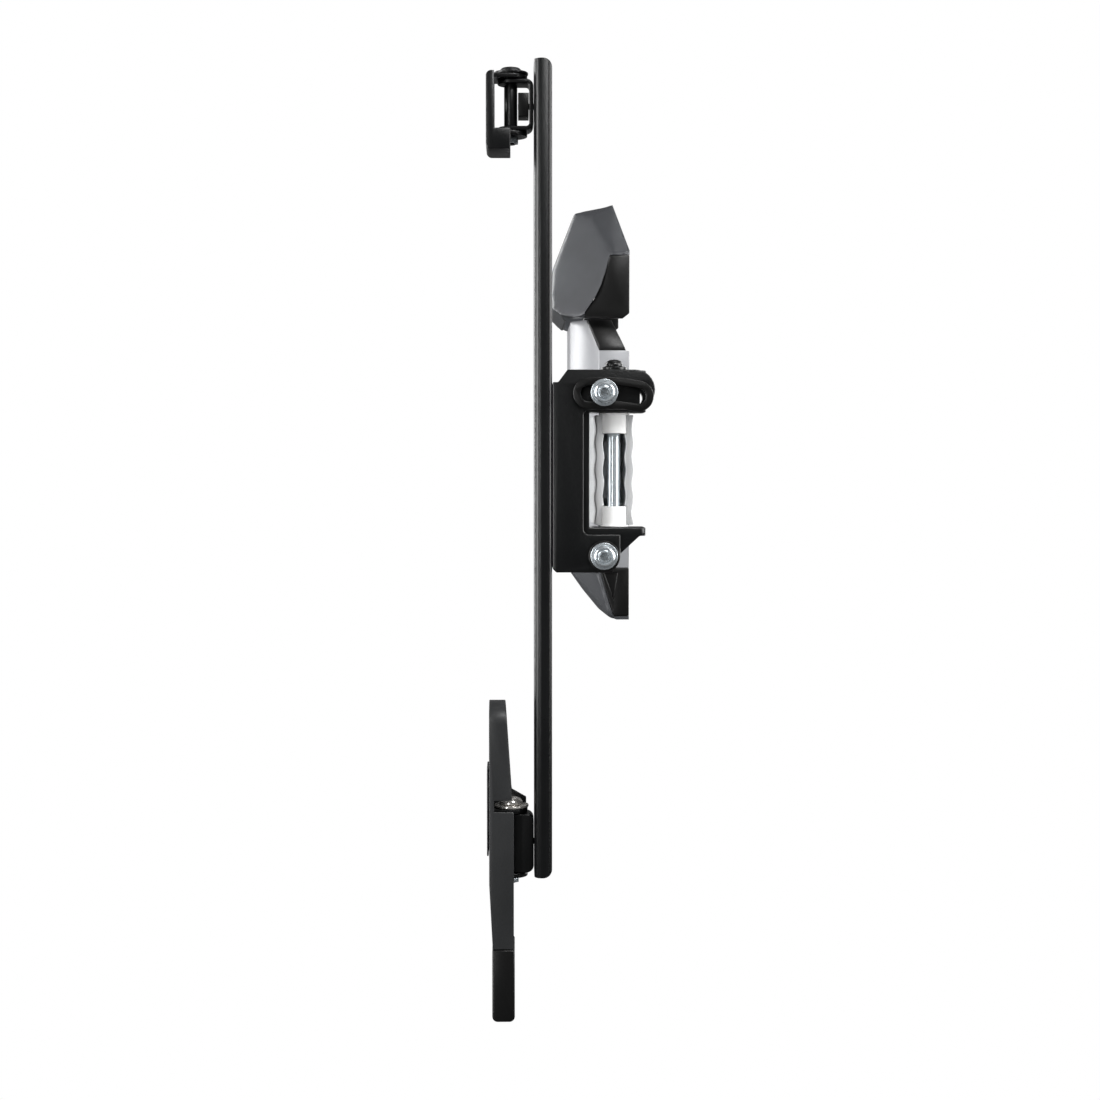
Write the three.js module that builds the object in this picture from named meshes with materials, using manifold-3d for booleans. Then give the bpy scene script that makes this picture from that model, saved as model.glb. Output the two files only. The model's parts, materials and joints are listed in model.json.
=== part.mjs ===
// Full-motion television wall mount with one swing arm, folded flat against the wall.
// Millimetres. The origin is on the wall, at the wall pivot and at half the height of the arm.
// +X is right for someone who faces the wall, +Y goes into the wall and +Z is up.

import * as THREE from "three";
import { ConvexGeometry } from "three/addons/geometries/ConvexGeometry.js";
import { mergeVertices } from "three/addons/utils/BufferGeometryUtils.js";
import Module from "manifold-3d";

const wasm = await Module();
wasm.setup();

// ---- Driving dimensions ----

const seam = 0.3; // between two pieces that bear on each other
const running = 0.3; // radial clearance of a pin in its bore

// Swing arm: a hollow extrusion with fluted sides.
const armLength = 300; // from pin to pin
const armDepth = 21;
const armHeight = 60;
const armWall = 4;
const armRoof = 2;
const armEnd = 4; // material beyond each pin, so that the bushings stand out of the ends
const fluteDepth = 0.9;
const fluteCount = 4;
const axisOut = 24; // from the wall to the axis of the arm

// Upright pins and the nylon bushings that they turn in.
const pinDiameter = 7;
const bushingDiameter = 15;
const bushingHeight = 10;
const collarDiameter = 17;
const collarHeight = 0.8;

// Wall plate, pivot carrier and covers.
const plate = { halfWidth: 58, bottom: -97, top: 79, thickness: 3, hole: 9 };
const lagHoles = { halfSpacing: 40, fromEdge: 16 };
const carrier = { halfWidth: 66, faceHalfWidth: 40, sideDepth: 21, depth: 39.5, backThickness: 4.4 };
const carrierTop = 103;
const carrierBottom = -67;
const carrierWall = 4;
const lugThickness = 12;
const neck = { sideTop: 81, halfWidthAtTop: 54, backAtTop: -12.7, thickness: 3.6 };
const coverWall = 2.4;
const cheekThickness = 5;
const cheekCorner = 4.5;
const cheekPocket = { depth: 1.4, outline: [[-17.5, 3], [-8, 3], [-11, 21]] };

// Corners of the right half of each cover: out from the side of the carrier, from the wall (0 is
// the back of the cover) and away from the end of the carrier. The left half mirrors them.
const topCoverCorners = [
  [-41, -36.5, 76.7], [-28, -25, 73.2], [0, -11.3, 44.4], [1.5, -12.7, 38.8], [3.9, -14.7, 31],
  [4.9, -17.7, 22.7], [4.9, -21.4, 15], [4.3, -25.8, 8.5], [3, -30.2, 3.2], [-1, -34.6, 1],
  [-5.2, -39, 1.2], [-13, -46.5, 3.4], [-21, -52.2, 8.5], [-25.5, -53.2, 16], [-35.5, -52.2, 36.1],
  [0, 0, 45.7], [-30, -10.3, 80.7], [0, 0, 0], [-1, -29, 0], [-12, -39, 0], [-26, -44, 0],
];
const bottomCoverCorners = [
  [-26, -42.5, 0], [0, -23, 0], [-26, -31.5, 15.7], [0, -18.5, 15.7], [-24, -19.6, 30.2],
  [0, -14, 30.2], [-21, -12, 35.2], [0, -12, 35.2], [0, 0, 0], [0, 0, 35.2],
];
// Outlines of the openings in the sides of the covers, which the black cheeks fill.
const topCheekOutline = [
  [1, 43], [-13.6, 42.8], [-15.2, 37.6], [-17.2, 30.4], [-19.8, 22.6], [-23.2, 15.2],
  [-27.3, 9], [-30.6, 4.4], [-32, -1], [1, -1],
];
const bottomCheekOutline = [
  [1, -1], [-20.8, -1], [-16.4, 15.7], [-11.9, 30.2], [-10.6, 33], [1, 33],
];

// Tilt joint: the lower bolts are the axis, and the upper bolts run in an arc-shaped slot.
const tiltBolt = { diameter: 8, headDiameter: 12, headHeight: 4, nutFlats: 11, nutHeight: 4 };
const tiltPivot = { y: -6.2, z: -46.7 };
const tiltRadius = 88.5; // from the lower bolts to the slot
const upperBolt = tiltPivot.z + tiltRadius;
const tiltForward = 12; // degrees that the slot leaves each way
const tiltBack = 5.5;
const tiltWasher = { diameter: 14.8, thickness: 1.5 };
const slotRim = { halfWidth: 8.4, thickness: 1.5 };

// Yoke: a folded sheet that turns on the end of the arm and carries the tilt bolts.
const sheet = 2.5;
const yokeHalfWidth = 12;
const yokeBack = -19; // its web, from the swivel pin
const yokeEdge = -14;
const yokeNose = 17;
const yokeNoseRadius = 3.5;
const yokeTop = upperBolt + 12.2;
const yokeBottom = -56;
const lip = 4.5; // thickness of the shelf under the arm

// Tilt bracket: a channel that is welded to the mast and holds the yoke between its sides.
const headHalfWidth = 15;
const bracketBack = -34;
const bracketEdge = -17.2;
const bracketWebTop = upperBolt + 5.7;
const earBottom = upperBolt - 9.2;
const earTop = upperBolt + 12.5;
const earNose = 21.5;
const lowerEarTop = -35;
const lowerEarRadius = 9;
const bracketRound = 3;

// Mast: an upright channel behind the television.
const mast = { top: 221, bottom: -223.5, depth: 9.7, wall: 2, bend: 4.2, backRound: 1.6, endRadius: 5 };

// Hinges at both ends of the mast. Heights run from the top flange of the fixed leaf down.
const hingeAxis = -56.6; // from the swivel pin
const leafWidth = 14.4;
const footFlangeWidth = 18;
const leafSheet = 2.2;
const leafBend = 4;
const footSheet = 2.5;
const hingeBolt = { diameter: 5, spacerDiameter: 7.2, washerDiameter: 19, washerThickness: 1.3 };
const upperHinge = { top: 211.5, bottom: 184, walled: false, headDiameter: 12, headHeight: 2.6 };
const lowerHinge = { top: -189.5, bottom: -222, walled: true, headDiameter: 12.4, headHeight: 3.8 };
const hingeNut = { flats: 8, height: 3.2 };
const frictionBlock = { halfWidth: 6.6, height: 12.5, reach: 5.8, screwDiameter: 4 };

// Feet that the television is screwed to, and the pull handle on the lower one.
const footFace = -13.4; // their outer face, from the hinge axis
const footHalfWidth = 15;
const footHoleHeight = 200; // above and below the middle, for a 400 mm hole spacing
const footHoleDiameter = 8.5;
const footTail = { bottom: 172.5, depth: 13.2, wall: 2, lip: 4.5, bend: 3 };
const footPad = { top: -163, bottom: -212, thickness: 0.9 };
const handle = { top: -127.6, shoulder: -262.7, wall: 1.8, back: -12.2, edgeTop: -3.3, edge: 1.3 };
const handleEnd = { radius: 11, heel: -227, backAtShoulder: -10.3 };
const handleTang = { halfWidth: 10, bottom: -295, y: -6.9 };
const handleRamp = { top: -177, bottom: -188, tip: -183.6, reach: 8.3 };
const footWebBack = handle.back + handle.wall + seam; // of the lower foot, inside the handle
const grip = { bottom: -303, halfWidth: 15.4, back: -10.6, front: 1.8, radius: 3 };

// ---- Shapes ----

const X = new THREE.Vector3(1, 0, 0);
const Y = new THREE.Vector3(0, 1, 0);
const Z = new THREE.Vector3(0, 0, 1);

// An outline lies in (Y, Z) for axis x, in (X, Z) for axis y and in (X, Y) for axis z.
const outlinePlane = {
  x: new THREE.Matrix4().makeBasis(Y, Z, X),
  y: new THREE.Matrix4().makeBasis(X, Z, Y.clone().negate()),
  z: new THREE.Matrix4(),
};

function solidOf(geometry) {
  const bare = geometry.clone();
  bare.deleteAttribute("normal");
  bare.deleteAttribute("uv");
  const merged = mergeVertices(bare, 1e-4);
  const corners = merged.index.array;
  const kept = [];
  for (let i = 0; i < corners.length; i += 3) {
    const [a, b, c] = corners.slice(i, i + 3);
    if (a !== b && b !== c && a !== c) kept.push(a, b, c);
  }
  return new wasm.Manifold(
    new wasm.Mesh({
      numProp: 3,
      vertProperties: merged.attributes.position.array,
      triVerts: new Uint32Array(kept),
    }),
  );
}

const join = (first, ...others) => others.reduce((sum, other) => sum.add(other), first);
const cut = (first, ...others) => others.reduce((rest, other) => rest.subtract(other), first);

function geometryOf(solid) {
  const mesh = solid.getMesh();
  const geometry = new THREE.BufferGeometry();
  geometry.setAttribute("position", new THREE.BufferAttribute(mesh.vertProperties, 3));
  geometry.setIndex(new THREE.BufferAttribute(mesh.triVerts, 1));
  const flat = geometry.toNonIndexed();
  flat.computeVertexNormals();
  return flat;
}

function shapeOf(points) {
  return new THREE.Shape(points.map(([u, v]) => new THREE.Vector2(u, v)));
}

// The outline extruded along one axis, between two places on it.
function prism(axis, outline, from, to, segments = 20) {
  const shape = Array.isArray(outline) ? shapeOf(outline) : outline;
  const geometry = new THREE.ExtrudeGeometry(shape, {
    depth: to - from,
    bevelEnabled: false,
    curveSegments: segments / 2,
  });
  geometry.translate(0, 0, axis === "y" ? -to : from);
  return solidOf(geometry.applyMatrix4(outlinePlane[axis]));
}

function box([x0, x1], [y0, y1], [z0, z1]) {
  const geometry = new THREE.BoxGeometry(x1 - x0, y1 - y0, z1 - z0);
  return solidOf(geometry.translate((x0 + x1) / 2, (y0 + y1) / 2, (z0 + z1) / 2));
}

const sides = { right: 1, left: -1 };
// The range between two distances from the middle, on one side of it.
const span = (side, from, to) => [side * from, side * to].sort((a, b) => a - b);

function circle(u, v, diameter) {
  return new THREE.Shape().absarc(u, v, diameter / 2, 0, 2 * Math.PI, false);
}

function ring(u, v, outer, inner) {
  const shape = circle(u, v, outer);
  shape.holes.push(circle(u, v, inner));
  return shape;
}

function hexagon(u, v, flats) {
  const corner = flats / Math.sqrt(3);
  const turns = [0, 1, 2, 3, 4, 5].map((side) => (side * Math.PI) / 3);
  return shapeOf(turns.map((turn) => [u + corner * Math.cos(turn), v + corner * Math.sin(turn)]));
}

// A rectangle with four rounded corners.
function roundedRectangle(u0, u1, v0, v1, radius) {
  const shape = new THREE.Shape();
  shape.absarc(u1 - radius, v1 - radius, radius, 0, Math.PI / 2, false);
  shape.absarc(u0 + radius, v1 - radius, radius, Math.PI / 2, Math.PI, false);
  shape.absarc(u0 + radius, v0 + radius, radius, Math.PI, 1.5 * Math.PI, false);
  shape.absarc(u1 - radius, v0 + radius, radius, 1.5 * Math.PI, 2 * Math.PI, false);
  return shape;
}

// A strip of even width along an arc about (u, v), with round ends. Angles are in degrees.
function arcStrip(u, v, radius, halfWidth, fromAngle, toAngle) {
  const [from, to] = [fromAngle, toAngle].map(THREE.MathUtils.degToRad);
  const at = (angle) => [u + radius * Math.cos(angle), v + radius * Math.sin(angle)];
  const shape = new THREE.Shape();
  shape.absarc(u, v, radius + halfWidth, from, to, false);
  shape.absarc(...at(to), halfWidth, to, to + Math.PI, false);
  shape.absarc(u, v, radius - halfWidth, to, from, true);
  shape.absarc(...at(from), halfWidth, from + Math.PI, from + 2 * Math.PI, false);
  return shape;
}

// A sheet folded over at both ends: round at its spine and open on the other side.
function foldedOutline(spine, open, bottom, top, radius) {
  const facing = Math.sign(spine - open);
  const centre = spine - facing * radius;
  const middle = facing > 0 ? 0 : Math.PI;
  const shape = new THREE.Shape();
  shape.moveTo(open, bottom);
  shape.lineTo(centre, bottom);
  shape.absarc(centre, bottom + radius, radius, -Math.PI / 2, -middle, facing < 0);
  shape.absarc(centre, top - radius, radius, middle, Math.PI / 2, facing < 0);
  shape.lineTo(open, top);
  return shape;
}

// A sheet tongue in plan: square at its back and round about (0, centre) at its front.
function tongue(halfWidth, back, centre, facing) {
  const shape = new THREE.Shape();
  shape.moveTo(-halfWidth * facing, back);
  shape.lineTo(halfWidth * facing, back);
  shape.absarc(0, centre, halfWidth, facing > 0 ? 0 : Math.PI, facing > 0 ? Math.PI : 0, false);
  return shape;
}

// A solid of revolution about Z from (radius, height) pairs that run upwards, axis to axis.
function turned(profile, segments = 20) {
  const points = profile.map(([radius, height]) => new THREE.Vector2(radius, height));
  return solidOf(new THREE.LatheGeometry(points, segments).rotateX(Math.PI / 2));
}

// ---- Materials ----

function finish(color, roughness, metalness) {
  return () => new THREE.MeshStandardMaterial({ color, roughness, metalness });
}

const blackPowderCoat = finish("#17181a", 0.45, 0.1);
const blackPlastic = finish("#0f1011", 0.5, 0);
const greyPlastic = finish("#4a4c50", 0.4, 0);
const silverPaint = finish("#d9dadd", 0.35, 0.3);
const aluminium = finish("#e6e8ea", 0.25, 0.9);
const whiteNylon = finish("#f1f1ef", 0.5, 0);
const zinc = finish("#c9d2d8", 0.25, 1);
const nickel = finish("#cfcac2", 0.2, 1);

function addPart(group, name, solid, material, position = [0, 0, 0]) {
  const mesh = new THREE.Mesh(geometryOf(solid), material());
  mesh.name = name;
  mesh.position.set(...position);
  group.add(mesh);
}

function addGroup(parent, name, position = [0, 0, 0]) {
  const group = new THREE.Group();
  group.name = name;
  group.position.set(...position);
  parent.add(group);
  return group;
}

// ---- Wall side ----

const lugFace = armHeight / 2 + collarHeight + 2 * seam; // where the pivot lugs face the arm

function wallPlateSolid() {
  const { halfWidth, bottom, top, thickness, hole } = plate;
  const outline = shapeOf([
    [-halfWidth, bottom], [halfWidth, bottom], [halfWidth, top], [-halfWidth, top],
  ]);
  for (const x of [-lagHoles.halfSpacing, lagHoles.halfSpacing]) {
    outline.holes.push(circle(x, bottom + lagHoles.fromEdge, hole));
    outline.holes.push(circle(x, top - lagHoles.fromEdge, hole));
  }
  return prism("y", outline, -thickness, 0, 16);
}

// The plan of the carrier and the covers: straight sides from the wall, then a bevel to the face.
function bevelledPlan(back, inset) {
  const slope = (carrier.depth - carrier.sideDepth) / (carrier.halfWidth - carrier.faceHalfWidth);
  const side = carrier.halfWidth - inset;
  const face = -carrier.depth + inset;
  const bevelStart = -carrier.sideDepth + inset * slope * 0.5;
  const faceEdge = carrier.faceHalfWidth - inset * 0.5;
  return [
    [-side, bevelStart], [-faceEdge, face], [faceEdge, face],
    [side, bevelStart], [side, back], [-side, back],
  ];
}

// The carrier closes round the wall plate, and the arm swings in the room between its lugs.
function pivotCarrierSolid() {
  const back = -plate.thickness - seam;
  const whole = prism("z", bevelledPlan(-seam, 0), carrierBottom, carrierTop);
  const hollow = bevelledPlan(back - carrier.backThickness, carrierWall);
  const upperRoom = prism("z", hollow, lugFace + lugThickness, carrierTop + 1);
  const lowerRoom = prism("z", hollow, carrierBottom - 1, -lugFace - lugThickness);
  const plateRoom = box(
    [-plate.halfWidth - seam, plate.halfWidth + seam], [back, 1], [carrierBottom - 1, carrierTop + 1],
  );
  const armRoom = box(
    [-carrier.halfWidth - 1, carrier.halfWidth + 1],
    [-carrier.depth - 1, back - carrier.backThickness],
    [-lugFace, lugFace],
  );
  const bore = prism(
    "z", circle(0, -axisOut, pinDiameter + 2 * running), carrierBottom - 1, carrierTop + 1,
  );
  const corners = Object.values(sides).map(neckCut);
  return cut(whole, upperRoom, lowerRoom, plateRoom, armRoom, bore, ...corners, neckBackCut());
}

// The upper corners of the carrier slope in towards the top cover.
function neckOutline(side, rise) {
  const out = carrier.halfWidth + 1;
  const slope = (carrierTop - neck.sideTop) / (carrier.halfWidth - neck.halfWidthAtTop);
  return { out: out * side, low: neck.sideTop - slope + rise, high: carrierTop + rise };
}

function neckCut(side) {
  const { out, low, high } = neckOutline(side, 0);
  const top = neck.halfWidthAtTop * side;
  const outline = [[out, low], [out, high + 1], [top, high + 1], [top, high]];
  return prism("y", side > 0 ? outline : outline.reverse(), -carrier.depth - 1, 1);
}

// The neck leans away from the wall.
function neckBackCut() {
  const outline = [
    [-2.4, neck.sideTop], [2, neck.sideTop], [2, carrierTop + 1], [neck.backAtTop, carrierTop + 1],
  ];
  return prism("x", outline, -carrier.halfWidth - 1, carrier.halfWidth + 1);
}

function neckTrimSolid(side) {
  const { out, low, high } = neckOutline(side, seam);
  const top = neck.halfWidthAtTop * side;
  const edge = neck.thickness;
  const outline = [[out, low], [out, low + edge], [top, high + edge], [top, high]];
  const band = prism("y", side > 0 ? outline : outline.reverse(), -carrier.depth, -seam);
  const plan = prism("z", bevelledPlan(-seam, 0), 0, carrierTop - seam);
  return cut(band.intersect(plan), neckBackCut());
}

// Each cover stands on one end of the carrier, and faces up (1) or down (-1).
const ends = { top: { at: carrierTop, facing: 1 }, bottom: { at: carrierBottom, facing: -1 } };

function coverHull(corners, { at, facing }, inset) {
  const back = -seam;
  const beyond = Math.min(inset, 1); // the inner hull runs out of the open faces
  const right = corners.map(([out, y, away]) => [
    carrier.halfWidth + out - inset,
    y < back ? y + inset : back + beyond,
    at + facing * (seam + Math.max(away - inset, -beyond)),
  ]);
  const both = right.flatMap(([x, y, z]) => [
    new THREE.Vector3(x, y, z),
    new THREE.Vector3(-x, y, z),
  ]);
  return solidOf(new ConvexGeometry(both));
}

// A convex outline with every edge moved inwards.
function insetOutline(points, inset) {
  const corners = points.map(([u, v]) => new THREE.Vector2(u, v));
  const turn = Math.sign(THREE.ShapeUtils.area(corners));
  const inwards = corners.map((corner, i) => {
    const edge = corners[(i + 1) % corners.length].clone().sub(corner).normalize();
    return new THREE.Vector2(-edge.y, edge.x).multiplyScalar(turn);
  });
  return corners.map((corner, i) => {
    const before = inwards.at(i - 1);
    const after = inwards[i];
    const reach = inset / (1 + before.dot(after));
    return corner.clone().add(before.clone().add(after).multiplyScalar(reach)).toArray();
  });
}

function cheekPlane(outline, { at, facing }, inset) {
  return insetOutline(outline, inset).map(([y, away]) => [y, at + facing * (seam + away)]);
}

// The grey shell of a cover, open at its back, at the carrier and where the cheeks sit.
function coverSolid(corners, cheekOutline, end) {
  const openings = Object.values(sides).map((side) => {
    const range = span(side, carrier.halfWidth - cheekThickness - seam, 2 * carrier.halfWidth);
    return prism("x", cheekPlane(cheekOutline, end, 0), ...range);
  });
  return cut(coverHull(corners, end, 0), coverHull(corners, end, coverWall), ...openings);
}

function cheekSolid(corners, outline, end, side) {
  const range = span(side, carrier.halfWidth - cheekThickness, carrier.halfWidth);
  const panel = prism("x", cheekPlane(outline, end, seam), ...range);
  return panel.intersect(coverHull(corners, end, 0));
}

// The upper cheeks have a cut corner at the wall.
function corneredCheekSolid(side) {
  const low = carrierTop + seam;
  const corner = [[-seam - cheekCorner, low], [1, low - 1], [1, low + cheekCorner]];
  const beside = prism("x", corner, -carrier.halfWidth - 1, carrier.halfWidth + 1);
  return cut(cheekSolid(topCoverCorners, topCheekOutline, ends.top, side), beside);
}

// The lower cheeks have a pointed recess.
function pocketedCheekSolid(side) {
  const { depth, outline } = cheekPocket;
  const range = span(side, carrier.halfWidth - depth, carrier.halfWidth + 1);
  const pocket = prism("x", cheekPlane(outline, ends.bottom, 0), ...range);
  return cut(cheekSolid(bottomCoverCorners, bottomCheekOutline, ends.bottom, side), pocket);
}

function buildWallSide(root) {
  const wallSide = addGroup(root, "wall side");
  const topCover = coverSolid(topCoverCorners, topCheekOutline, ends.top);
  const bottomCover = coverSolid(bottomCoverCorners, bottomCheekOutline, ends.bottom);
  addPart(wallSide, "wall_plate", wallPlateSolid(), silverPaint);
  addPart(wallSide, "pivot_carrier", pivotCarrierSolid(), silverPaint);
  addPart(wallSide, "top_cover", topCover, greyPlastic);
  addPart(wallSide, "bottom_cover", bottomCover, greyPlastic);
  for (const [name, side] of Object.entries(sides)) {
    addPart(wallSide, `neck_trim_${name}`, neckTrimSolid(side), blackPlastic);
    addPart(wallSide, `top_cheek_${name}`, corneredCheekSolid(side), blackPlastic);
    addPart(wallSide, `bottom_cheek_${name}`, pocketedCheekSolid(side), blackPlastic);
  }
  const pivot = addGroup(wallSide, "wall pivot", [0, -axisOut, 0]);
  const lugTop = lugFace + lugThickness;
  const washerThickness = 1.6;
  const nutHeight = 6;
  const washerBottom = lugTop + seam;
  const headBottom = washerBottom + washerThickness + seam;
  const nutTop = -lugTop - seam;
  const pinRadius = pinDiameter / 2;
  addPart(
    pivot, "wall_pivot_pin",
    turned([
      [0, nutTop - nutHeight - 1], [pinRadius, nutTop - nutHeight - 1], [pinRadius, headBottom],
      [6.5, headBottom], [6.5, headBottom + 4], [0, headBottom + 4],
    ]),
    zinc,
  );
  addPart(pivot, "wall_pivot_washer", washerSolid(16, washerBottom, washerThickness), zinc);
  const nutShape = hexagon(0, 0, 13);
  nutShape.holes.push(circle(0, 0, pinDiameter + 2 * running));
  addPart(pivot, "wall_pivot_nut", prism("z", nutShape, nutTop - nutHeight, nutTop), zinc);
}

function washerSolid(diameter, from, thickness, bore = pinDiameter + 2 * running) {
  return prism("z", ring(0, 0, diameter, bore), from, from + thickness, 20);
}

// ---- Swing arm ----

// One face of a side wall: flutes that run along the arm, as (Y, Z) points going up.
function flutedEdge(offset, halfHeight) {
  const steps = 6 * fluteCount;
  return Array.from({ length: steps + 1 }, (_, i) => {
    const wave = (fluteDepth / 2) * (1 - Math.cos((2 * Math.PI * fluteCount * i) / steps));
    return [offset - wave, halfHeight * ((2 * i) / steps - 1)];
  });
}

function mirroredOutline(edge) {
  return [...edge, ...edge.map(([y, z]) => [-y, z]).reverse()];
}

function armSolid() {
  const outer = mirroredOutline(flutedEdge(armDepth / 2, armHeight / 2));
  const inner = mirroredOutline(flutedEdge(armDepth / 2 - armWall, armHeight / 2 - armRoof));
  const tube = prism("x", outer, -armEnd, armLength + armEnd);
  const room = prism("x", inner, -armEnd - 1, armLength + armEnd + 1);
  const pockets = [0, armLength].flatMap((x) =>
    [1, -1].map((up) => {
      const low = up * (armHeight / 2 - bushingHeight - seam);
      const [from, to] = [low, up * (armHeight / 2 + 1)].sort((a, b) => a - b);
      return prism("z", circle(x, 0, bushingDiameter + 2 * seam), from, to, 24);
    }),
  );
  return cut(tube, room, ...pockets);
}

// A flanged bushing whose collar keeps the arm off the sheet that it turns against.
function bushingSolid(up) {
  const bore = pinDiameter + 2 * running;
  const collarFrom = armHeight / 2 + seam;
  const bodyFrom = armHeight / 2 - bushingHeight;
  const levels = (from, to) => (up > 0 ? [from, to] : [-to, -from]);
  const top = collarFrom + collarHeight;
  const body = prism("z", ring(0, 0, bushingDiameter, bore), ...levels(bodyFrom, top), 24);
  const collar = prism("z", ring(0, 0, collarDiameter, bore), ...levels(collarFrom, top), 24);
  return join(body, collar);
}

function buildArm(root) {
  const arm = addGroup(root, "arm", [0, -axisOut, 0]);
  addPart(arm, "swing_arm", armSolid(), aluminium);
  for (const [end, x] of Object.entries({ wall: 0, head: armLength })) {
    addPart(arm, `${end}_bushing_upper`, bushingSolid(1), whiteNylon, [x, 0, 0]);
    addPart(arm, `${end}_bushing_lower`, bushingSolid(-1), whiteNylon, [x, 0, 0]);
  }
  return arm;
}

// ---- Yoke and tilt bolts ----

function yokeTonguePlan() {
  const shape = new THREE.Shape();
  const corner = yokeHalfWidth - yokeNoseRadius;
  const centre = yokeNose - yokeNoseRadius;
  shape.moveTo(-yokeHalfWidth, yokeBack);
  shape.lineTo(yokeHalfWidth, yokeBack);
  shape.absarc(corner, centre, yokeNoseRadius, 0, Math.PI / 2, false);
  shape.absarc(-corner, centre, yokeNoseRadius, Math.PI / 2, Math.PI, false);
  return shape;
}

function yokeSolid() {
  const flange = (from, to) => prism("z", yokeTonguePlan(), from, to, 16);
  const corner = yokeNose - yokeNoseRadius;
  const web = box([-yokeHalfWidth, yokeHalfWidth], [yokeBack, yokeBack + sheet], [yokeBottom, yokeTop]);
  const sideOutline = [
    [yokeBack, yokeBottom], [tiltPivot.y + 5, yokeBottom], [tiltPivot.y + 8, tiltPivot.z],
    [corner, -lugFace - lip], [corner, -lugFace], [yokeEdge, -lugFace], [yokeEdge, lugFace],
    [corner, lugFace], [corner, yokeTop], [yokeBack, yokeTop],
  ];
  const ears = Object.values(sides).map((side) => {
    return prism("x", sideOutline, ...span(side, yokeHalfWidth - sheet, yokeHalfWidth));
  });
  const body = join(
    web, ...ears, flange(lugFace, lugFace + sheet), flange(-lugFace - lip, -lugFace),
    flange(yokeTop - sheet, yokeTop),
  );
  const pinBore = prism("z", circle(0, 0, pinDiameter + 2 * running), yokeBottom, yokeTop + 1);
  const boltBores = [tiltPivot.z, upperBolt].map((z) =>
    prism("x", circle(tiltPivot.y, z, tiltBolt.diameter + 2 * running), -50, 50),
  );
  return cut(body, pinBore, ...boltBores);
}

function swivelPinSolid(top) {
  const radius = pinDiameter / 2;
  const headTop = -lugFace - lip - seam;
  return turned([
    [0, headTop - 3], [5.5, headTop - 3], [5.5, headTop], [radius, headTop], [radius, top], [0, top],
  ]);
}

// Turned pieces on the tilt axes are made about Z and laid along X, pointing outwards.
function addAcross(group, name, solid, material, side, x, z) {
  addPart(group, name, solid, material, [side * x, tiltPivot.y, z]);
  group.children.at(-1).rotation.y = (side * Math.PI) / 2;
}

function tiltBoltSolid(shank) {
  const { diameter, headDiameter, headHeight } = tiltBolt;
  const crown = headDiameter / 2 - headHeight / 2;
  return turned([
    [0, -shank], [diameter / 2, -shank], [diameter / 2, 0], [headDiameter / 2, 0],
    [headDiameter / 2, headHeight / 2], [crown, headHeight], [2.5, headHeight],
    [2.5, headHeight / 2], [0, headHeight / 2],
  ]);
}

function nutSolid(flats, height, bore) {
  const shape = hexagon(0, 0, flats);
  shape.holes.push(circle(0, 0, bore));
  return prism("z", shape, -height, 0, 16);
}

function buildYoke(arm) {
  const yoke = addGroup(arm, "yoke", [armLength, 0, 0]);
  addPart(yoke, "yoke", yokeSolid(), blackPowderCoat);
  const washerFrom = yokeTop + seam;
  const washerThickness = 2;
  const nutFrom = washerFrom + washerThickness + seam;
  addPart(yoke, "swivel_washer", washerSolid(14.7, washerFrom, washerThickness), blackPowderCoat);
  addPart(yoke, "swivel_pin", swivelPinSolid(nutFrom + 2), zinc);
  const cap = [
    [0, 2.3], [3.8, 2.3], [3.8, 0], [5, 0], [5, 1.5], [3.8, 3], [2, 3.8], [0, 4],
  ];
  addPart(yoke, "swivel_cap_nut", turned(cap, 20), blackPowderCoat, [0, 0, nutFrom]);

  const bracketFace = headHalfWidth + seam;
  const heights = { upper: upperBolt, lower: tiltPivot.z };
  const nutFace = yokeHalfWidth - sheet - seam;
  const bore = tiltBolt.diameter + 2 * running;
  for (const [sideName, side] of Object.entries(sides)) {
    for (const [level, z] of Object.entries(heights)) {
      const washerX = bracketFace + slotRim.thickness + seam;
      const headX = washerX + tiltWasher.thickness + seam;
      const shank = headX - nutFace + tiltBolt.nutHeight;
      const tag = `${level}_${sideName}`;
      const washer = washerSolid(tiltWasher.diameter, 0, tiltWasher.thickness, bore);
      const nut = nutSolid(tiltBolt.nutFlats, tiltBolt.nutHeight, bore);
      addAcross(yoke, `tilt_washer_${tag}`, washer, zinc, side, washerX, z);
      addAcross(yoke, `tilt_bolt_${tag}`, tiltBoltSolid(shank), zinc, side, headX, z);
      addAcross(yoke, `tilt_nut_${tag}`, nut, zinc, side, nutFace, z);
    }
  }
  return yoke;
}

// ---- Tilt bracket and mast ----

const straightUp = 90;

function bracketSideOutline() {
  const { y, z } = tiltPivot;
  const earRadius = (earTop - earBottom) / 2;
  const quarter = Math.PI / 2;
  const inner = bracketEdge + bracketRound;
  const shape = new THREE.Shape();
  shape.moveTo(bracketBack, z - lowerEarRadius + 2);
  shape.lineTo(bracketBack + 2, z - lowerEarRadius);
  shape.lineTo(y, z - lowerEarRadius);
  shape.absarc(y, z, lowerEarRadius, -quarter, 0, false);
  shape.lineTo(y + lowerEarRadius, lowerEarTop);
  shape.lineTo(inner, lowerEarTop);
  shape.absarc(inner, lowerEarTop + bracketRound, bracketRound, -quarter, -2 * quarter, true);
  shape.absarc(inner, earBottom - bracketRound, bracketRound, 2 * quarter, quarter, true);
  shape.absarc(earNose - earRadius, earBottom + earRadius, earRadius, -quarter, quarter, false);
  shape.lineTo(bracketBack + 8, earTop);
  shape.lineTo(bracketBack + 3, bracketWebTop);
  shape.lineTo(bracketBack, bracketWebTop);
  return shape;
}

function tiltSlot(halfWidth) {
  return arcStrip(
    tiltPivot.y, tiltPivot.z, tiltRadius, halfWidth, straightUp - tiltForward, straightUp + tiltBack,
  );
}

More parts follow.
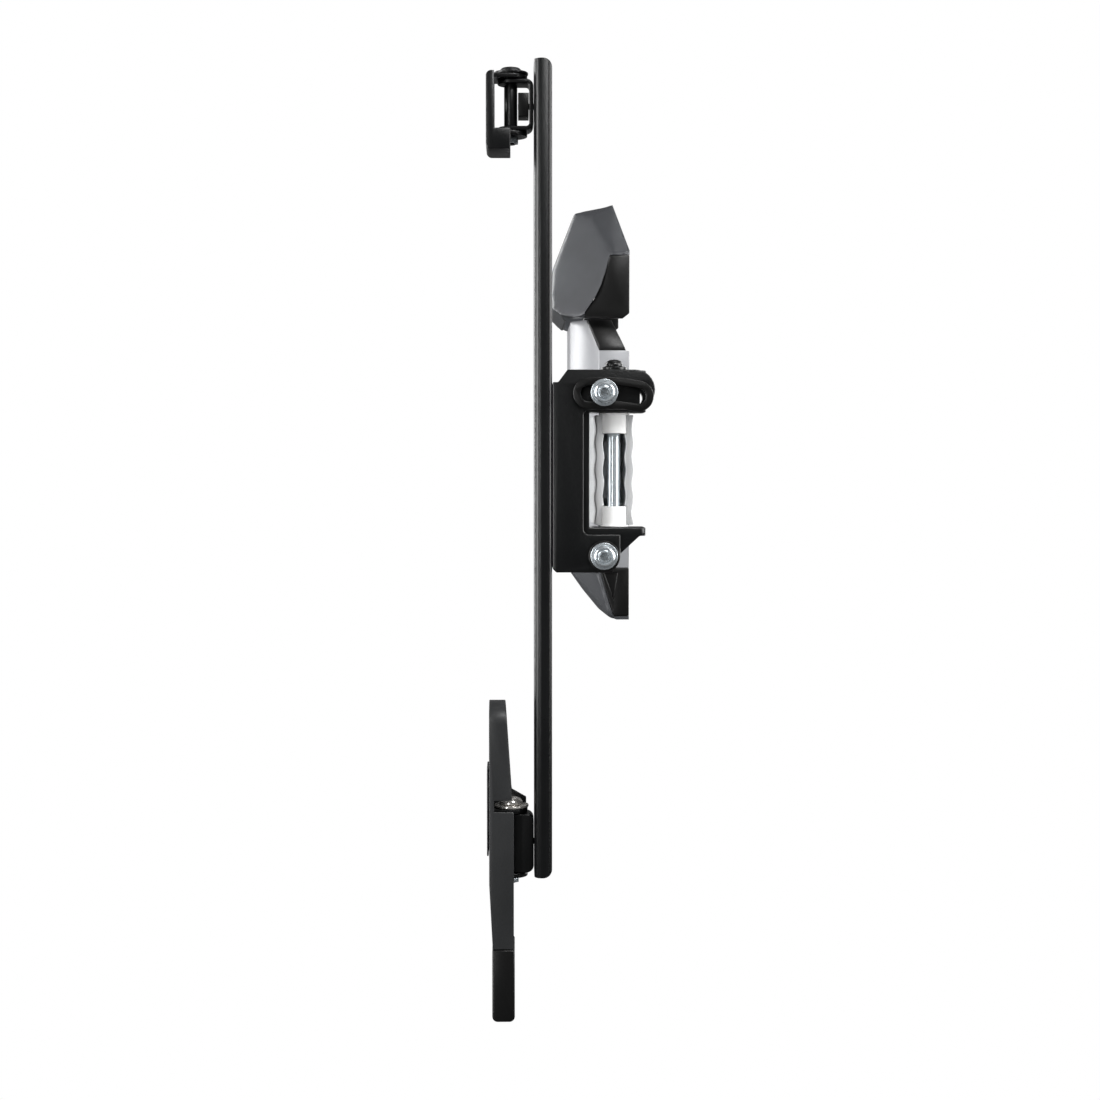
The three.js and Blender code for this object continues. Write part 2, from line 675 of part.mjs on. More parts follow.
function tiltBracketSolid() {
  const whole = prism("x", bracketSideOutline(), -headHalfWidth, headHalfWidth, 16);
  const inner = headHalfWidth - sheet;
  const room = box([-inner, inner], [bracketBack + sheet, earNose + 1], [-80, 80]);
  const slotHalf = tiltBolt.diameter / 2 + running;
  const slot = prism("x", tiltSlot(slotHalf), -50, 50, 16);
  const bore = prism(
    "x", circle(tiltPivot.y, tiltPivot.z, tiltBolt.diameter + 2 * running), -50, 50,
  );
  return cut(whole, room, slot, bore);
}

function slotRimSolid(side) {
  const shape = tiltSlot(slotRim.halfWidth);
  shape.holes.push(tiltSlot(tiltBolt.diameter / 2 + running));
  const face = headHalfWidth + seam;
  return prism("x", shape, ...span(side, face, face + slotRim.thickness), 16);
}

function pivotRingSolid() {
  const bore = tiltBolt.diameter + 2 * running;
  return prism("z", ring(0, 0, 2 * slotRim.halfWidth, bore), 0, slotRim.thickness, 24);
}

const mastBack = bracketBack - seam;
const mastFront = mastBack - mast.depth;

// The mast's web faces the television, and its two flanges have round ends at the wall side.
function mastSolid() {
  const { wall, bend, backRound, endRadius } = mast;
  const half = headHalfWidth;
  const plan = new THREE.Shape();
  plan.moveTo(half - backRound, mastBack);
  plan.lineTo(-half + backRound, mastBack);
  plan.absarc(-half + backRound, mastBack - backRound, backRound, Math.PI / 2, Math.PI, false);
  plan.absarc(-half + bend, mastFront + bend, bend, Math.PI, 1.5 * Math.PI, false);
  plan.absarc(half - bend, mastFront + bend, bend, 1.5 * Math.PI, 2 * Math.PI, false);
  plan.absarc(half - backRound, mastBack - backRound, backRound, 0, Math.PI / 2, false);
  const bar = prism("z", plan, mast.bottom, mast.top, 12);
  const room = box(
    [-half + wall, half - wall], [mastFront + wall, mastBack + 1], [mast.bottom - 1, mast.top + 1],
  );
  const side = new THREE.Shape();
  side.moveTo(mastFront - 1, mast.bottom);
  side.lineTo(mastBack - endRadius, mast.bottom);
  side.absarc(mastBack - endRadius, mast.bottom + endRadius, endRadius, -Math.PI / 2, 0, false);
  side.absarc(mastBack - endRadius, mast.top - endRadius, endRadius, 0, Math.PI / 2, false);
  side.lineTo(mastFront - 1, mast.top);
  const ends = prism("x", side, -half - 1, half + 1, 12);
  const screwBores = [upperHinge, lowerHinge].map(({ top, bottom }) =>
    prism("y", circle(0, (top + bottom) / 2, frictionBlock.screwDiameter), mastFront - 1, 0, 16),
  );
  return cut(bar.intersect(ends), room, ...screwBores);
}

// ---- Hinges ----

const boltBore = hingeBolt.diameter + 2 * running;

// The lower leaf has side walls between its flanges.
function leafSolid({ top, bottom, walled }) {
  const back = mastFront - seam;
  const half = leafWidth / 2;
  const front = hingeAxis + footWebBack + footSheet + seam;
  const folded = (inset) =>
    foldedOutline(back - inset, front - inset, bottom + inset, top - inset, leafBend - inset);
  const room = prism("x", folded(leafSheet), -leafWidth, leafWidth);
  const inner = half - leafSheet;
  const walls = box([-inner, inner], [hingeAxis, back], [bottom, top]);
  const frontRoom = box([-leafWidth, leafWidth], [front - sheet, hingeAxis + 1], [bottom, top]);
  const emptied = walled ? room.intersect(join(walls, frontRoom)) : room;
  const outer = prism("x", folded(0), -half, half);
  const plan = prism("z", tongue(half, back, hingeAxis, -1), bottom, top, 16);
  const bore = prism("z", circle(0, hingeAxis, boltBore), bottom - 1, top + 1, 16);
  const screwBore = prism(
    "y", circle(0, (top + bottom) / 2, frictionBlock.screwDiameter), back - 9, back + 1, 16,
  );
  return cut(outer.intersect(plan), emptied, bore, screwBore);
}

function frictionBlockSolid({ top, bottom, walled }) {
  const face = mastFront - 2 * seam - leafSheet;
  const middle = (top + bottom) / 2;
  const { height, reach, screwDiameter } = frictionBlock;
  const half = walled ? leafWidth / 2 - leafSheet - seam : frictionBlock.halfWidth;
  const block = box(
    [-half, half], [face - reach, face], [middle - height / 2, middle + height / 2],
  );
  const bore = prism("y", circle(0, middle, screwDiameter), face - reach - 1, face + 1, 16);
  return cut(block, bore);
}

function frictionScrewSolid({ top, bottom }) {
  const tip = hingeAxis + hingeBolt.spacerDiameter / 2 + seam;
  const diameter = frictionBlock.screwDiameter - 2 * seam;
  return prism("y", circle(0, (top + bottom) / 2, diameter), tip, mastFront + mast.wall, 16);
}

// Heights of the moving leaf and the hardware that clamps both leaves together.
function hingeStack({ top, bottom }) {
  const footTop = top + seam + footSheet;
  const footBottom = bottom - seam - footSheet;
  const washerFrom = footTop + seam;
  return {
    footTop,
    footBottom,
    washerFrom,
    headFrom: washerFrom + hingeBolt.washerThickness + seam,
    nutTop: footBottom - seam,
  };
}

function hingeBoltSolid(hinge) {
  const { headFrom, nutTop } = hingeStack(hinge);
  const radius = hingeBolt.diameter / 2;
  const head = hinge.headDiameter / 2;
  const tip = nutTop - hingeNut.height - 0.6;
  return turned([
    [0, tip], [radius, tip], [radius, headFrom], [head, headFrom],
    [head, headFrom + hinge.headHeight * 0.4], [head * 0.8, headFrom + hinge.headHeight * 0.8],
    [head * 0.45, headFrom + hinge.headHeight], [0, headFrom + hinge.headHeight],
  ]);
}

function addHinge(tilt, level, hinge, boltFinish) {
  addPart(tilt, `${level}_hinge_leaf`, leafSolid(hinge), blackPowderCoat);
  addPart(tilt, `${level}_friction_block`, frictionBlockSolid(hinge), blackPlastic);
  addPart(tilt, `${level}_friction_screw`, frictionScrewSolid(hinge), zinc);
  const at = [0, hingeAxis, 0];
  const stack = hingeStack(hinge);
  const { spacerDiameter, washerDiameter, washerThickness } = hingeBolt;
  const spacerFrom = hinge.bottom + leafSheet + seam;
  const spacerHeight = hinge.top - leafSheet - seam - spacerFrom;
  const spacer = washerSolid(spacerDiameter, spacerFrom, spacerHeight, boltBore);
  const washer = washerSolid(washerDiameter, stack.washerFrom, washerThickness, boltBore);
  const nut = nutSolid(hingeNut.flats, hingeNut.height, boltBore);
  addPart(tilt, `${level}_hinge_bolt`, hingeBoltSolid(hinge), boltFinish, at);
  addPart(tilt, `${level}_hinge_spacer`, spacer, blackPowderCoat, at);
  addPart(tilt, `${level}_hinge_washer`, washer, boltFinish, at);
  addPart(tilt, `${level}_hinge_nut`, nut, zinc, [0, hingeAxis, stack.nutTop]);
}

function buildTilt(yoke) {
  const tilt = addGroup(yoke, "tilt");
  addPart(tilt, "tilt_bracket", tiltBracketSolid(), blackPowderCoat);
  for (const [name, side] of Object.entries(sides)) {
    addPart(tilt, `slot_rim_${name}`, slotRimSolid(side), blackPlastic);
    const face = headHalfWidth + seam;
    addAcross(tilt, `pivot_ring_${name}`, pivotRingSolid(), blackPlastic, side, face, tiltPivot.z);
  }
  addPart(tilt, "mast", mastSolid(), blackPowderCoat);
  addHinge(tilt, "upper", upperHinge, blackPowderCoat);
  addHinge(tilt, "lower", lowerHinge, nickel);
  return tilt;
}

// ---- Feet and handle, measured from the hinge axis ----

function footFlange(z) {
  const half = footFlangeWidth / 2;
  return prism("z", tongue(half, footFace, 0, 1), z, z + footSheet, 16);
}

function footHole(z) {
  return prism("y", circle(0, z, footHoleDiameter), footFace - 1, 0, 20);
}

function upperFootSolid() {
  const { footTop, footBottom } = hingeStack(upperHinge);
  const { bottom, depth, wall, lip: lipDepth, bend } = footTail;
  const half = footHalfWidth;
  const web = box([-half, half], [footFace, footFace + footSheet], [bottom, footTop]);
  const floor = box([-half, half], [footFace, footFace + depth], [bottom, bottom + wall]);
  const walls = Object.values(sides).flatMap((side) => [
    box(span(side, half - wall, half), [footFace, footFace + depth], [bottom, footBottom + footSheet]),
    box(span(side, half - wall, half), [footFace, footFace + lipDepth], [bottom, footTop]),
  ]);
  const flanges = [footBottom, footTop - footSheet].map(footFlange);
  const folds = prism("x", foldedOutline(footFace, 2 * depth, bottom, footTop, bend), -half, half, 12);
  const bore = prism("z", circle(0, 0, boltBore), footBottom - 1, footTop + 1, 16);
  return cut(join(web, floor, ...walls, ...flanges).intersect(folds), bore, footHole(footHoleHeight));
}

function lowerFootSolid() {
  const { footTop, footBottom } = hingeStack(lowerHinge);
  const half = footFlangeWidth / 2;
  const back = footWebBack;
  const web = box([-half, half], [back, back + footSheet], [footBottom, footTop]);
  const flanges = [footBottom, footTop - footSheet].map((z) =>
    prism("z", tongue(half, back, 0, 1), z, z + footSheet, 16),
  );
  const bore = prism("z", circle(0, 0, boltBore), footBottom - 1, footTop + 1, 16);
  return cut(join(web, ...flanges), bore, footHole(-footHoleHeight));
}

function footPadSolid() {
  const half = footHalfWidth - 2;
  const outline = roundedRectangle(-half, half, footPad.bottom, footPad.top, 3);
  outline.holes.push(circle(0, -footHoleHeight, footHoleDiameter));
  return prism("y", outline, footFace, footFace + footPad.thickness, 16);
}

// A channel with its web towards the television and a round upper end.
function handleSolid() {
  const { top, shoulder, wall, back, edgeTop, edge } = handle;
  const { radius, heel, backAtShoulder } = handleEnd;
  const half = footHalfWidth;
  const { washerFrom } = hingeStack(lowerHinge);
  const profile = (inset, beyond) => [
    [backAtShoulder + inset, shoulder - beyond], [edge + beyond, shoulder - beyond],
    [edge + beyond, handleRamp.bottom], [beyond, handleRamp.top], [edgeTop + beyond, top + beyond],
    [back + inset, top + beyond], [back + inset, heel],
  ];
  const face = (inset) => {
    const outline = new THREE.Shape();
    const centre = half - radius;
    outline.moveTo(-half + inset, shoulder - 1 - inset);
    outline.lineTo(half - inset, shoulder - 1 - inset);
    outline.absarc(centre, top - radius, radius - inset, 0, Math.PI / 2, false);
    outline.absarc(-centre, top - radius, radius - inset, Math.PI / 2, Math.PI, false);
    return outline;
  };
  const bar = prism("x", profile(0, 0), -half, half).intersect(prism("y", face(0), -20, 20, 24));
  const room = prism("x", profile(wall, 1), -half, half).intersect(prism("y", face(wall), -20, 20, 24));
  const ramp = prism(
    "x",
    [
      [edgeTop, handleRamp.bottom], [handleRamp.reach, handleRamp.bottom],
      [handleRamp.reach, handleRamp.tip], [edgeTop, handleRamp.top],
    ],
    -half, -half + wall,
  );
  const notch = box(
    [half - wall - 1, half + 1], [-hingeBolt.washerDiameter / 2, edge + 1],
    [washerFrom - 2 * seam, washerFrom + lowerHinge.headHeight + 2],
  );
  const tang = box(
    [-handleTang.halfWidth, handleTang.halfWidth], [handleTang.y - wall, handleTang.y],
    [handleTang.bottom, shoulder + 6],
  );
  return cut(join(cut(bar, room, notch), ramp, tang), footHole(-footHoleHeight));
}

function gripSolid() {
  const { bottom, halfWidth, back, front, radius } = grip;
  const top = handle.shoulder - seam;
  const quarter = Math.PI / 2;
  const shape = new THREE.Shape();
  shape.moveTo(front, top);
  shape.lineTo(back, top);
  shape.absarc(back + radius, bottom + radius, radius, 2 * quarter, 3 * quarter, false);
  shape.absarc(front - radius, bottom + radius, radius, 3 * quarter, 4 * quarter, false);
  const body = prism("x", shape, -halfWidth, halfWidth, 16);
  const slot = box(
    [-handleTang.halfWidth - seam, handleTang.halfWidth + seam],
    [handleTang.y - handle.wall - seam, handleTang.y + seam],
    [handleTang.bottom - seam, top + 1],
  );
  return cut(body, slot);
}

function buildFeet(tilt) {
  const upper = addGroup(tilt, "upper foot", [0, hingeAxis, 0]);
  addPart(upper, "upper_foot", upperFootSolid(), blackPowderCoat);
  const lower = addGroup(tilt, "lower foot", [0, hingeAxis, 0]);
  addPart(lower, "lower_foot", lowerFootSolid(), blackPowderCoat);
  addPart(lower, "lower_foot_pad", footPadSolid(), blackPowderCoat);
  addPart(lower, "pull_handle", handleSolid(), blackPowderCoat);
  addPart(lower, "handle_grip", gripSolid(), blackPlastic);
}

const mount = new THREE.Group();
buildWallSide(mount);
const arm = buildArm(mount);
const yoke = buildYoke(arm);
const tilt = buildTilt(yoke);
buildFeet(tilt);

export default mount;
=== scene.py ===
import json
import math
import bpy
import bmesh
from mathutils import Matrix, Vector


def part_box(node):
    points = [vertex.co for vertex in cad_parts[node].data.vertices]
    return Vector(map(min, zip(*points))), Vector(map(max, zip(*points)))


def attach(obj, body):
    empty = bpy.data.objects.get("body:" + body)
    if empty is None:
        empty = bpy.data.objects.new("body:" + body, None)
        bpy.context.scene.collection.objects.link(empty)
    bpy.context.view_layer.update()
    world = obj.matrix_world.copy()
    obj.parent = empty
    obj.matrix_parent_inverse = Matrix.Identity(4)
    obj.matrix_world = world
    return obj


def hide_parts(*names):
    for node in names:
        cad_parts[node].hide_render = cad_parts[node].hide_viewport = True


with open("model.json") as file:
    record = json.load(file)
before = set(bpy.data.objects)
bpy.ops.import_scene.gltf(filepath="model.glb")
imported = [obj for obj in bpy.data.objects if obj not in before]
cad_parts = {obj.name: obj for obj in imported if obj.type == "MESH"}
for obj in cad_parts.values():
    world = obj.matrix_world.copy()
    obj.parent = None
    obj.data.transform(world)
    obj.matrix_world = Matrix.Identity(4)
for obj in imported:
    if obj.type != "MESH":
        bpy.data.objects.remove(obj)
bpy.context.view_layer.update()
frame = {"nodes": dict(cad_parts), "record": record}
nodes = frame["nodes"]
bodies = frame["record"]["behaviour"]["bodies"]
bodyOf = {node: body for body, members in bodies.items() for node in members}
slotOf = {part["node"]: part["material_slot"] for part in frame["record"]["subparts"]}
mm = 0.001
print("frame loaded:", len(nodes), "nodes")


# materials

def linear(hexValue):
    channels = [int(hexValue[i:i + 2], 16) / 255 for i in (1, 3, 5)]
    return [c / 12.92 if c <= 0.04045 else ((c + 0.055) / 1.055) ** 2.4 for c in channels] + [1.0]


def addNode(tree, kind, settings=None, links=None):
    node = tree.nodes.new(kind)
    for key, value in (settings or {}).items():
        if key in node.inputs:
            node.inputs[key].default_value = value
        else:
            setattr(node, key, value)
    for socket, source in (links or {}).items():
        tree.links.new(source, node.inputs[socket])
    return node


def newMaterial(name):
    material = bpy.data.materials.new(name)
    material.use_nodes = True
    tree = material.node_tree
    tree.nodes.clear()
    return material, tree


# One recipe for every finish: two tones that a soft cloud mixes, a roughness that wanders a
# little, and a fine surface grain of a real size in millimetres.
recipe = {"cloudDetail": 3.0, "grainDetail": 2.0, "toneFrom": 0.35, "toneTo": 0.65, "bumpPerGrain": 0.2}


def makeFinish(name, look):
    material, tree = newMaterial(name)
    place = addNode(tree, "ShaderNodeTexCoord").outputs["Object"]
    stretch = addNode(tree, "ShaderNodeMapping", {"Scale": look.get("stretch", (1, 1, 1))},
                      {"Vector": place})
    cloud = addNode(tree, "ShaderNodeTexNoise",
                    {"Scale": 1 / (look["cloudMm"] * mm), "Detail": recipe["cloudDetail"]},
                    {"Vector": place})
    grain = addNode(tree, "ShaderNodeTexNoise",
                    {"Scale": 1 / (look["grainMm"] * mm), "Detail": recipe["grainDetail"]},
                    {"Vector": stretch.outputs["Vector"]})
    ramp = addNode(tree, "ShaderNodeValToRGB", {}, {"Fac": cloud.outputs["Fac"]})
    ramp.color_ramp.elements[0].position = recipe["toneFrom"]
    ramp.color_ramp.elements[1].position = recipe["toneTo"]
    ramp.color_ramp.elements[0].color = linear(look["tone"])
    ramp.color_ramp.elements[1].color = linear(look["otherTone"])
    rough = addNode(tree, "ShaderNodeMapRange", {"To Min": look["rough"] - look["roughSpread"],
                                                 "To Max": look["rough"] + look["roughSpread"]},
                    {"Value": grain.outputs["Fac"]})
    bump = addNode(tree, "ShaderNodeBump",
                   {"Strength": look["bump"], "Distance": look["grainMm"] * mm * recipe["bumpPerGrain"]},
                   {"Height": grain.outputs["Fac"]})
    shader = addNode(tree, "ShaderNodeBsdfPrincipled",
                     {"Metallic": look.get("metal", 0.0), **look.get("constants", {})},
                     {"Base Color": ramp.outputs["Color"], "Roughness": rough.outputs["Result"],
                      "Normal": bump.outputs["Normal"]})
    addNode(tree, "ShaderNodeOutputMaterial", {}, {"Surface": shader.outputs["BSDF"]})
    return material


finishes = {
    # satin polyester powder coat on pressed steel: faint orange peel, soft wide highlights
    "black_powder_coat": {"tone": "#08090a", "otherTone": "#0d0e0f", "cloudMm": 30, "grainMm": 1.1,
                          "rough": 0.3, "roughSpread": 0.05, "bump": 0.25, "constants": {"IOR": 1.5}},
    # moulded ABS with a fine spark-eroded grain
    "black_plastic": {"tone": "#070707", "otherTone": "#0b0b0b", "cloudMm": 25, "grainMm": 0.7, "rough": 0.34,
                      "roughSpread": 0.05, "bump": 0.2, "constants": {"IOR": 1.45}},
    # grey moulded ABS, a little smoother, with a pearly sheen
    "grey_plastic": {"tone": "#3f4043", "otherTone": "#484a4d", "cloudMm": 40, "grainMm": 0.6, "rough": 0.34,
                     "roughSpread": 0.05, "bump": 0.2, "metal": 0.25, "constants": {"IOR": 1.52}},
    # silver lacquer on a die casting: mid grey, smooth, slight cast unevenness
    "silver_paint": {"tone": "#8e8f92", "otherTone": "#949598", "cloudMm": 35, "grainMm": 1.5, "rough": 0.32,
                     "roughSpread": 0.04, "bump": 0.12, "metal": 0.1},
    # the handle's own coat is a little greyer and flatter than the bracket's
    "handle_coat": {"tone": "#242526", "otherTone": "#2b2c2d", "cloudMm": 40, "grainMm": 1.3, "rough": 0.42,
                    "roughSpread": 0.05, "bump": 0.2, "constants": {"IOR": 1.5}},
    # clear-anodised aluminium extrusion: fine draw lines along its length
    "aluminium": {"tone": "#e9ebed", "otherTone": "#f4f5f6", "cloudMm": 50, "grainMm": 6,
                  "stretch": (0.15, 12, 12), "rough": 0.22, "roughSpread": 0.06, "bump": 0.08, "metal": 0.5},
    # natural white nylon: waxy, slightly see-through
    "white_nylon": {"tone": "#f2f2f1", "otherTone": "#f7f7f6", "cloudMm": 12, "grainMm": 0.5, "rough": 0.42,
                    "roughSpread": 0.05, "bump": 0.12,
                    "constants": {"IOR": 1.53, "Subsurface Weight": 0.15,
                                  "Subsurface Radius": (0.001, 0.001, 0.001)}},
    # bright zinc plate: bluish, with tumbling marks from the plating drum
    "zinc": {"tone": "#c9d1d7", "otherTone": "#d9e0e4", "cloudMm": 8, "grainMm": 0.5, "rough": 0.25,
             "roughSpread": 0.05, "bump": 0.06, "metal": 0.8},
    # bright nickel plate: warmer and smoother than zinc
    "nickel": {"tone": "#ece8e2", "otherTone": "#f4f1ec", "cloudMm": 5, "grainMm": 1.2, "rough": 0.2,
               "roughSpread": 0.05, "bump": 0.15, "metal": 0.8},
}
materials = {slot: makeFinish(slot + "Finish", look) for slot, look in finishes.items()}
print("materials made:", len(materials))


# pieces

ownFinish = {"pull_handle": "handle_coat"}  # nodes whose finish isn't the one named for their slot


# Makes the piece that stands in for a CAD node. Edges sharper than smoothAngle degrees stay crisp.
def finishPiece(bm, node, smoothAngle):
    name = node + "_piece"
    slot = slotOf[node]
    mesh = bpy.data.meshes.new(name)
    bm.to_mesh(mesh)
    bm.free()
    mesh.polygons.foreach_set("use_smooth", [True] * len(mesh.polygons))
    mesh.set_sharp_from_angle(angle=math.radians(smoothAngle))
    mesh.materials.append(materials[ownFinish.get(node, slot)])
    piece = bpy.data.objects.new(name, mesh)
    bpy.context.scene.collection.objects.link(piece)
    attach(piece, bodyOf[node])
    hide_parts(node)


merging = {"distance": 0.004, "flatWithin": 0.6}  # millimetres, degrees


def mergedCopy(node):
    bm = bmesh.new()
    bm.from_mesh(nodes[node].data)
    bmesh.ops.remove_doubles(bm, verts=bm.verts, dist=merging["distance"] * mm)
    bmesh.ops.dissolve_limit(bm, angle_limit=math.radians(merging["flatWithin"]), verts=bm.verts,
                             edges=bm.edges)
    return bm


def edgesOver(bm, degrees):
    return [e for e in bm.edges if len(e.link_faces) == 2 and e.calc_face_angle() > math.radians(degrees)]


# Edge rounding of the pieces whose CAD shape is right, in millimetres.
rounding = {
    "mast": 0.4, "tilt_bracket": 0.6, "yoke": 0.6, "upper_foot": 0.4, "lower_foot": 0.3,
    "lower_foot_pad": 0.4, "pull_handle": 0.3, "handle_grip": 0.8, "wall_plate": 0.5, "pivot_carrier": 0.6,
    "swing_arm": 0.15, "neck_trim_right": 0.3, "neck_trim_left": 0.3, "upper_hinge_leaf": 0.4,
    "lower_hinge_leaf": 0.5,
    "slot_rim_right": 0.35, "slot_rim_left": 0.35, "pivot_ring_right": 0.3, "pivot_ring_left": 0.3,
    "top_cheek_right": 0.5, "top_cheek_left": 0.5, "bottom_cheek_right": 0.4, "bottom_cheek_left": 0.4,
}
# Edges folded over more than 40 degrees are rounded. Pieces that aren't listed take the small radius.
edgeLook = {"smallRadius": 0.2, "foldedOver": 40, "segments": 2, "smoothAngle": 35}
coverNodes = ["top_cover", "bottom_cover"]
tiltBolts = [node for node in nodes if node.startswith("tilt_bolt")]
for node in sorted(nodes):
    if node in coverNodes or node in tiltBolts:
        continue
    bm = mergedCopy(node)
    bmesh.ops.bevel(bm, geom=edgesOver(bm, edgeLook["foldedOver"]), affect="EDGES", offset_type="OFFSET",
                    offset=rounding.get(node, edgeLook["smallRadius"]) * mm, segments=edgeLook["segments"],
                    profile=0.5, clamp_overlap=False, material=-1)
    finishPiece(bm, node, edgeLook["smoothAngle"])
print("edges rounded")

# The covers are sliced into small cells, and the outer skin is then relaxed, which softens the ridges
# between its facets. The inner skin and the rims stay where they are.
coverLook = {
    "cell": 3.0, "sliceWeld": 0.01,  # millimetres
    "rounds": 7, "softness": 0.5, "smoothAngle": 40,
    "outBy": 2.0, "heldRim": 0.5,  # millimetres
    "facingWall": 0.5, "facingOpening": -0.5,  # how far a skin face may turn to the wall or the opening
}


# The corners that may move: those whose faces all look away from the cover's core, one ring short of
# every rim, so that the rims stay straight.
def outerSkin(bm, core, away, wall):
    faceOut = {f: f.normal.dot(f.calc_center_median() - core) > coverLook["outBy"] * mm
               and f.normal.y < coverLook["facingWall"] and f.normal.z * away > coverLook["facingOpening"]
               for f in bm.faces}
    skin = [v for v in bm.verts if all(faceOut[f] for f in v.link_faces)
            and v.co.y < wall - coverLook["heldRim"] * mm]
    held = set(bm.verts) - set(skin)
    return [v for v in skin if not any(e.other_vert(v) in held for e in v.link_edges)]


for node in coverNodes:
    bm = mergedCopy(node)
    low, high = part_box(node)
    for axis in range(3):
        normal = Vector([1.0 if i == axis else 0.0 for i in range(3)])
        count = int((high[axis] - low[axis]) / (coverLook["cell"] * mm))
        for step in range(1, count + 1):
            place = low + normal * (high[axis] - low[axis]) * step / (count + 1)
            bmesh.ops.bisect_plane(bm, geom=bm.verts[:] + bm.edges[:] + bm.faces[:],
                                   dist=coverLook["sliceWeld"] * mm, plane_co=place, plane_no=normal)
    away = 1 if node == "top_cover" else -1
    core = Vector((0.0, high.y, low.z if away > 0 else high.z))
    skin = outerSkin(bm, core, away, high.y)
    for turn in range(coverLook["rounds"]):
        bmesh.ops.smooth_vert(bm, verts=skin, factor=coverLook["softness"],
                              use_axis_x=True, use_axis_y=True, use_axis_z=True)
    finishPiece(bm, node, coverLook["smoothAngle"])
print("covers made")


# Socket screw: a turned head with a hexagon socket, built about Z and laid along X. The head's profile
# is radius and height from the tip, in millimetres.
tiltScrewLook = {
    "around": 36, "socket": 4.6, "socketDepth": 3.4, "shank": 4.0, "smoothAngle": 28,
    "profile": [(2.95, -0.1), (3.2, -0.9), (3.7, -1.1), (4.1, -0.5), (4.7, -0.4), (5.4, -0.9), (5.9, -2.0),
                (6.0, -4.0), (4.0, -4.0)],
}


def socketScrew(node, look):
    low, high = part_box(node)
    side = 1 if node.endswith("right") else -1
    axisY, axisZ = (low.y + high.y) / 2, (low.z + high.z) / 2
    tipX = high.x if side > 0 else low.x
    length = high.x - low.x
    around = look["around"]
    bm = bmesh.new()
    socket = bmesh.ops.create_circle(bm, radius=look["socket"] * mm / math.sqrt(3), segments=6)["verts"]
    bmesh.ops.subdivide_edges(bm, edges=list(bm.edges), cuts=around // 6 - 1)
    hexEdges = list(bm.edges)
    # down into the socket, then a floor
    deep = bmesh.ops.extrude_edge_only(bm, edges=hexEdges)["geom"]
    deepVerts = [g for g in deep if isinstance(g, bmesh.types.BMVert)]
    bmesh.ops.translate(bm, verts=deepVerts, vec=(0, 0, -look["socketDepth"] * mm))
    bmesh.ops.contextual_create(bm, geom=[g for g in deep if isinstance(g, bmesh.types.BMEdge)])
    # out over the crown, the rim, the seat and the shank, one ring after another
    ringAbove = hexEdges
    for radius, height in look["profile"] + [(look["shank"], -length / mm)]:
        circle = bmesh.ops.create_circle(bm, radius=radius * mm, segments=around,
                                         matrix=Matrix.Translation((0, 0, height * mm)))["verts"]
        ring = [e for e in bm.edges if e.verts[0] in circle and e.verts[1] in circle]
        bmesh.ops.bridge_loops(bm, edges=ringAbove + ring)
        ringAbove = ring
    bmesh.ops.contextual_create(bm, geom=ringAbove)
    bmesh.ops.remove_doubles(bm, verts=bm.verts, dist=merging["distance"] * mm)
    turn = Matrix.Rotation(side * math.pi / 2, 4, "Y")
    bmesh.ops.transform(bm, matrix=Matrix.Translation((tipX, axisY, axisZ)) @ turn, verts=bm.verts)
    bmesh.ops.recalc_face_normals(bm, faces=bm.faces)
    finishPiece(bm, node, look["smoothAngle"])


for node in tiltBolts:
    socketScrew(node, tiltScrewLook)
print("screws made")


# camera and light

def aimed(obj, target):
    obj.rotation_euler = (Vector(target) - obj.location).to_track_quat("-Z", "Y").to_euler()
    return obj


cameraLook = {"place": (1.271, -0.079, 0.0), "ahead": (-1.0, 0.0204, -0.0454), "lens": 57.7,
              "farthest": 50}
cameraData = bpy.data.cameras.new("camera")
cameraData.lens = cameraLook["lens"]
cameraData.clip_end = cameraLook["farthest"]
camera = bpy.data.objects.new("camera", cameraData)
camera.location = cameraLook["place"]
bpy.context.scene.collection.objects.link(camera)
aimed(camera, Vector(cameraLook["place"]) + Vector(cameraLook["ahead"]))
bpy.context.scene.camera = camera

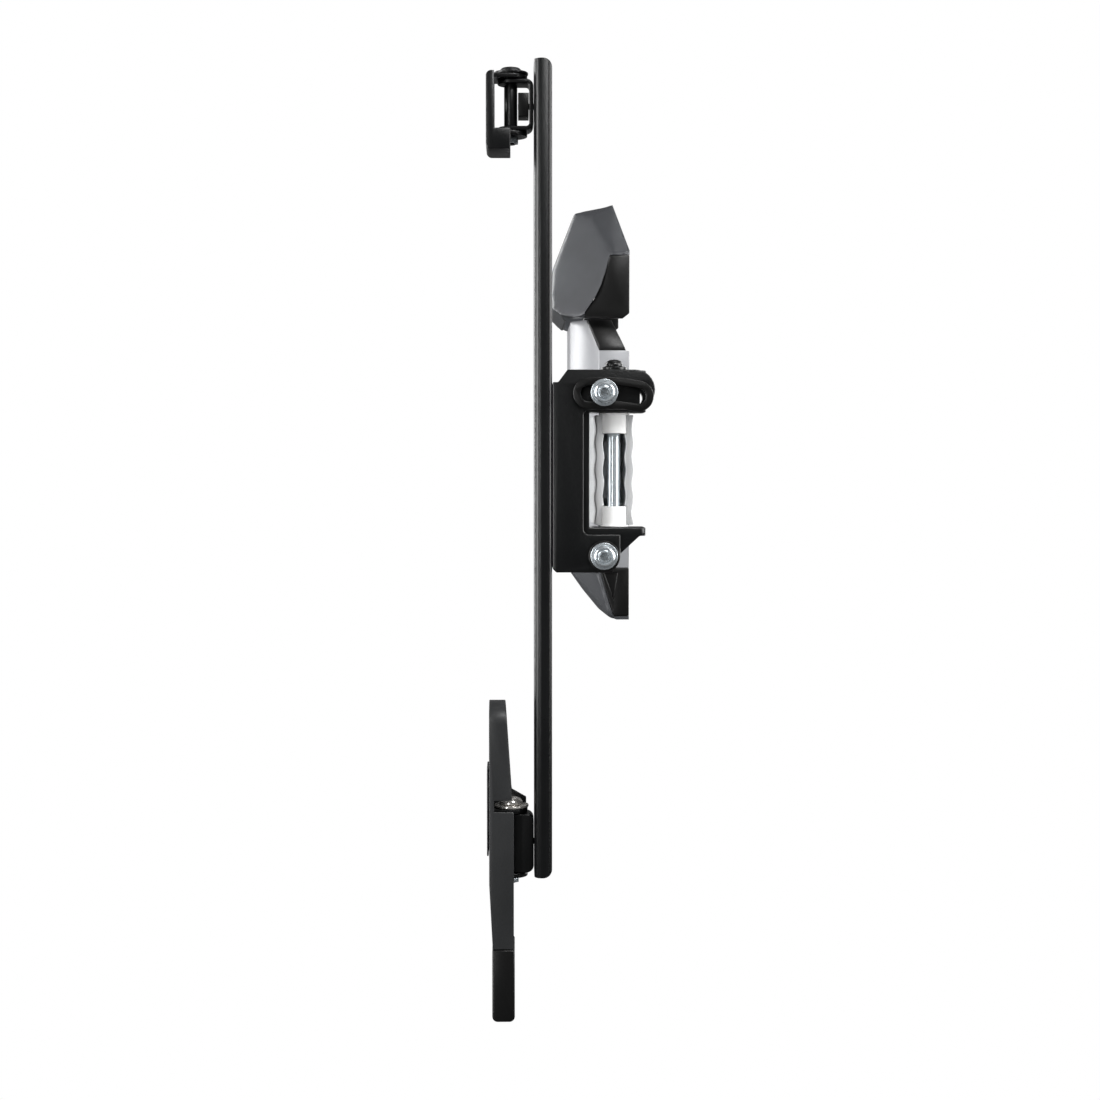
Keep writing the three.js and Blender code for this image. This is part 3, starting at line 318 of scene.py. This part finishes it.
lampAim = (0.2, -0.04, 0.0)  # on the folded arm, between the wall pivot and the head
softboxes = {
    "televisionSide": {"place": (0.7, -1.7, 0.25), "size": (0.9, 1.8), "power": 38},
    "wallSide": {"place": (0.8, 1.5, 0.5), "size": (1.0, 1.6), "power": 34},
    "overhead": {"place": (0.1, 0.3, 1.8), "size": (1.0, 1.0), "power": 4},
    "strip": {"place": (1.8, -1.0, 0.0), "size": (0.14, 2.0), "power": 9},
    "front": {"place": (1.9, 0.6, 1.7), "size": (0.7, 0.7), "power": 22},
    "behindLeft": {"place": (-0.9, -1.2, 0.3), "size": (0.6, 1.6), "power": 20},
    "behindRight": {"place": (-0.9, 1.2, 0.3), "size": (0.6, 1.6), "power": 20},
}
for name, look in softboxes.items():
    light = bpy.data.lights.new(name, "AREA")
    light.shape = "RECTANGLE"
    light.size, light.size_y = look["size"]
    light.energy = look["power"]
    lamp = bpy.data.objects.new(name, light)
    lamp.location = look["place"]
    bpy.context.scene.collection.objects.link(lamp)
    aimed(lamp, lampAim)

studio = {"white": 1.0, "seenByObject": 0.1, "softFill": 0.45, "floorHeight": -0.75, "floorSize": 12.0}
world = bpy.data.worlds.new("studio")
world.use_nodes = True
bpy.context.scene.world = world
sky = world.node_tree
sky.nodes.clear()
ray = addNode(sky, "ShaderNodeLightPath")
fill = addNode(sky, "ShaderNodeMapRange", {"To Min": studio["seenByObject"], "To Max": studio["softFill"]},
               {"Value": ray.outputs["Is Diffuse Ray"]})
dim = addNode(sky, "ShaderNodeBackground", {"Color": (1, 1, 1, 1)}, {"Strength": fill.outputs["Result"]})
bright = addNode(sky, "ShaderNodeBackground", {"Color": (1, 1, 1, 1), "Strength": studio["white"]})
both = addNode(sky, "ShaderNodeMixShader", {},
               {0: ray.outputs["Is Camera Ray"], 1: dim.outputs[0], 2: bright.outputs[0]})
addNode(sky, "ShaderNodeOutputWorld", {}, {"Surface": both.outputs[0]})

floorMaterial, floorTree = newMaterial("paleFloor")
seen = addNode(floorTree, "ShaderNodeLightPath")
strength = addNode(floorTree, "ShaderNodeMapRange",
                   {"To Min": studio["seenByObject"], "To Max": studio["white"]},
                   {"Value": seen.outputs["Is Camera Ray"]})
glow = addNode(floorTree, "ShaderNodeEmission", {"Color": (1, 1, 1, 1)},
               {"Strength": strength.outputs["Result"]})
addNode(floorTree, "ShaderNodeOutputMaterial", {}, {"Surface": glow.outputs[0]})
bm = bmesh.new()
bmesh.ops.create_grid(bm, x_segments=1, y_segments=1, size=studio["floorSize"] / 2,
                      matrix=Matrix.Translation((0, 0, studio["floorHeight"])))
floorMesh = bpy.data.meshes.new("floor")
bm.to_mesh(floorMesh)
bm.free()
floorMesh.materials.append(floorMaterial)
floor = bpy.data.objects.new("floor", floorMesh)
bpy.context.scene.collection.objects.link(floor)
bpy.context.scene.view_settings.view_transform = "Standard"
print("camera and light set")
